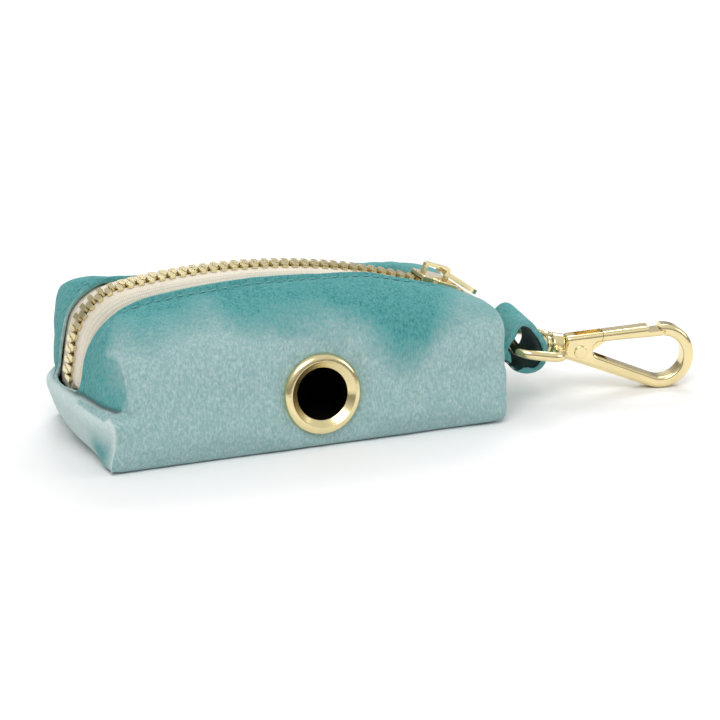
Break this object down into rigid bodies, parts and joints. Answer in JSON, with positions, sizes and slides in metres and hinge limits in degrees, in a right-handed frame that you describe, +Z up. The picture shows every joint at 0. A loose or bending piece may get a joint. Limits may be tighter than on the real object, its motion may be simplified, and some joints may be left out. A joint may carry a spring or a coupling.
{
  "type": "treat and waste bag pouch",
  "caption": "Small zipped velvet pouch with a metal eyelet that bags pull out through, and a swivel snap hook on a strap loop.",
  "frame": {"origin": "middle of the pouch flat base, on the ground", "axes": "+X along the zip towards the strap and hook, +Y to the back, +Z up; the eyelet is on the -Y front"},
  "size_m": [0.1518, 0.0463, 0.0386],
  "materials": {
    "velvet": "short-pile teal velvet with a shifting nap",
    "strap_velvet": "folded short-pile teal velvet",
    "interlining": "white non-woven stiffener",
    "lining": "black plain-weave lining",
    "zip_tape": "cream woven tape",
    "zip_brass": "bright brass teeth",
    "gold_plate": "polished light gold plate",
    "spring_steel": "bare spring wire"
  },
  "bodies": {
    "pouch": {"velvet_body": "velvet", "interlining": "interlining", "lining": "lining", "front_zip_tape": "zip_tape", "back_zip_tape": "zip_tape", "front_zip_teeth": "zip_brass", "back_zip_teeth": "zip_brass", "eyelet": "gold_plate", "eyelet_washer": "gold_plate"},
    "slider": {"zip_slider_body": "gold_plate", "slider_bridge": "gold_plate"},
    "pull": {"zip_pull": "gold_plate"},
    "strap": {"strap_loop": "strap_velvet"},
    "ring": {"swivel_ring": "gold_plate"},
    "hook": {"hook_body": "gold_plate", "swivel_post": "gold_plate", "gate_pin": "gold_plate", "gate_spring": "spring_steel"},
    "gate": {"hook_gate": "gold_plate"}
  },
  "joints": [
    {"name": "slider_travel", "type": "hinge", "parent": "pouch", "child": "slider", "pos_m": [-0.0125, 0, -0.1111], "axis": [0, -1, 0], "range_deg": [0, 26], "deforming": ["front_zip_teeth", "back_zip_teeth"]},
    {"name": "pull_swing", "type": "hinge", "parent": "slider", "child": "pull", "pos_m": [0.04236, 0, 0.03078], "axis": [0, -1, 0], "range_deg": [0, 160]},
    {"name": "strap_flex", "type": "hinge", "parent": "pouch", "child": "strap", "pos_m": [0.05325, -0.004, 0.0135], "axis": [0.1045, 0.9945, 0], "range_deg": [-40, 40], "stiffness_Nm_per_rad": 0.03},
    {"name": "ring_swing", "type": "hinge", "parent": "strap", "child": "ring", "pos_m": [0.0579, -0.00411, 0.0133], "axis": [0.2079, 0.9781, 0], "range_deg": [-75, 60]},
    {"name": "hook_swivel", "type": "hinge", "parent": "ring", "child": "hook", "pos_m": [0.07039, -0.00676, 0.01114], "axis": [0.9644, -0.205, -0.1668], "continuous": true},
    {"name": "gate_hinge", "type": "hinge", "parent": "hook", "child": "gate", "pos_m": [0.07422, -0.00757, 0.01028], "axis": [0.2079, 0.9781, 0], "range_deg": [0, 22], "stiffness_Nm_per_rad": 0.08, "springref_deg": -20.05}
  ]
}
